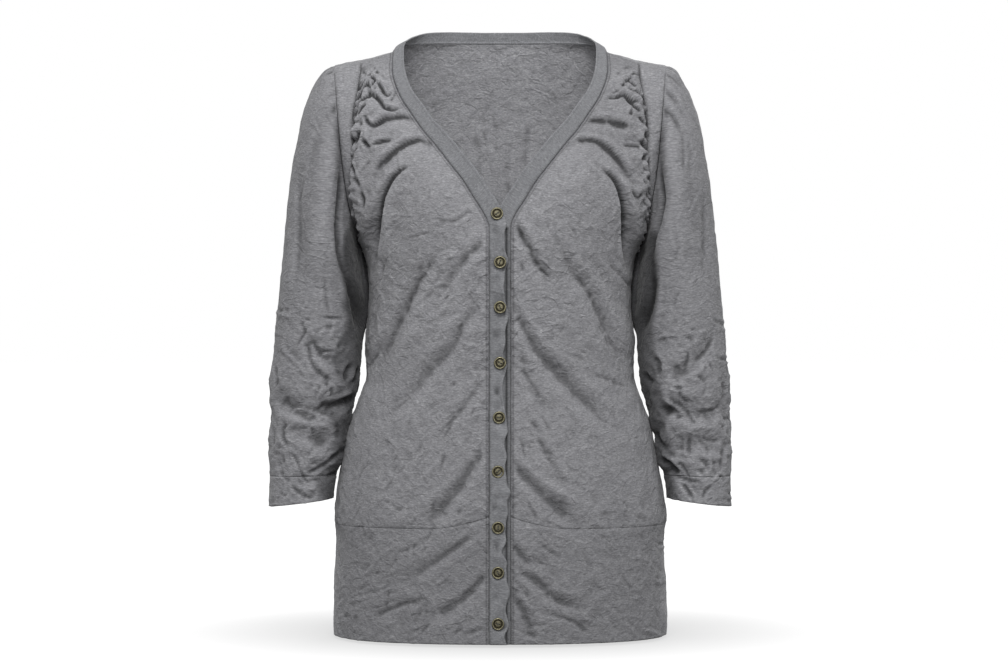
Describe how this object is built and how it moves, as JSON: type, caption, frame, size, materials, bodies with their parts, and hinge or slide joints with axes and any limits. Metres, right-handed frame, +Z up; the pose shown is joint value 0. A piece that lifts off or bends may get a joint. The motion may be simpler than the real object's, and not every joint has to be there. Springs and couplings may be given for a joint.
{
  "type": "button cardigan",
  "caption": "Fitted jersey cardigan with a V neck, button front, three-quarter sleeves and deep hem band, in its worn form with nobody inside.",
  "frame": {"origin": "midway between the high points of the shoulders, where the wearer's shoulders carry the cardigan", "axes": "+Z up, the front faces -Y, +X towards the wearer's left"},
  "size_m": [0.5284, 0.2495, 0.6986],
  "materials": {
    "jersey": "fine jersey in mid-grey heather, matt",
    "band_jersey": "the same jersey, doubled and topstitched",
    "aged_brass": "dull, darkened brass"
  },
  "bodies": {
    "root": {"back": "jersey", "front_right": "jersey", "front_left": "jersey", "armhole_strap_right": "jersey", "armhole_strap_left": "jersey", "sleeve_right": "jersey", "sleeve_left": "jersey", "cuff_band_right": "jersey", "cuff_band_left": "jersey", "hem_band_right": "jersey", "hem_band_left": "jersey", "hem_band_back": "jersey", "neckband_and_placket": "band_jersey", "button_1": "aged_brass", "button_2": "aged_brass", "button_3": "aged_brass", "button_4": "aged_brass", "button_5": "aged_brass", "button_6": "aged_brass", "button_7": "aged_brass", "button_8": "aged_brass", "button_9": "aged_brass"}
  },
  "joints": []
}
